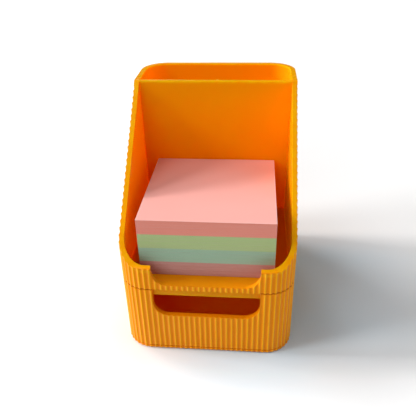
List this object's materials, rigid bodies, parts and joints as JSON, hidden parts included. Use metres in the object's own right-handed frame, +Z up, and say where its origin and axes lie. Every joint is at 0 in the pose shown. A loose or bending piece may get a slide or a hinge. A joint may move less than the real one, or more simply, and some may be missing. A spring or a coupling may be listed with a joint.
{
  "type": "memo pad holder with drawer",
  "caption": "Upright fluted desk holder for square memo pads, with a pen slot behind a divider, a sloping rim, finger notches and a pull-out drawer below",
  "frame": {"origin": "middle of the footprint, on the standing surface", "axes": "+Z up; the drawer and the memo compartment face -Y; +X to the right seen from the front"},
  "size_m": [0.0994, 0.1268, 0.1374],
  "materials": {
    "orange_plastic": "satin",
    "foot_foam": "matte",
    "paper_rose": "matte",
    "paper_blue": "matte",
    "paper_green": "matte",
    "paper_pink": "matte"
  },
  "bodies": {
    "body": {"housing": "orange_plastic", "base_plate": "orange_plastic", "foot_front_left": "foot_foam", "foot_front_right": "foot_foam", "foot_back_left": "foot_foam", "foot_back_right": "foot_foam"},
    "drawer": {"drawer": "orange_plastic"},
    "memo_block_rose": {"memo_block_rose": "paper_rose"},
    "memo_block_blue": {"memo_block_blue": "paper_blue"},
    "memo_block_green": {"memo_block_green": "paper_green"},
    "memo_block_pink": {"memo_block_pink": "paper_pink"}
  },
  "joints": [
    {"name": "drawer_slide", "type": "slide", "parent": "body", "child": "drawer", "axis": [0, -1, 0], "range_m": [0, 0.078]},
    {"name": "memo_block_rose_lift", "type": "slide", "parent": "body", "child": "memo_block_rose", "axis": [0, 0, 1], "range_m": [0, 0.06]},
    {"name": "memo_block_blue_lift", "type": "slide", "parent": "memo_block_rose", "child": "memo_block_blue", "axis": [0, 0, 1], "range_m": [0, 0.06]},
    {"name": "memo_block_green_lift", "type": "slide", "parent": "memo_block_blue", "child": "memo_block_green", "axis": [0, 0, 1], "range_m": [0, 0.06]},
    {"name": "memo_block_pink_lift", "type": "slide", "parent": "memo_block_green", "child": "memo_block_pink", "axis": [0, 0, 1], "range_m": [0, 0.06]}
  ]
}
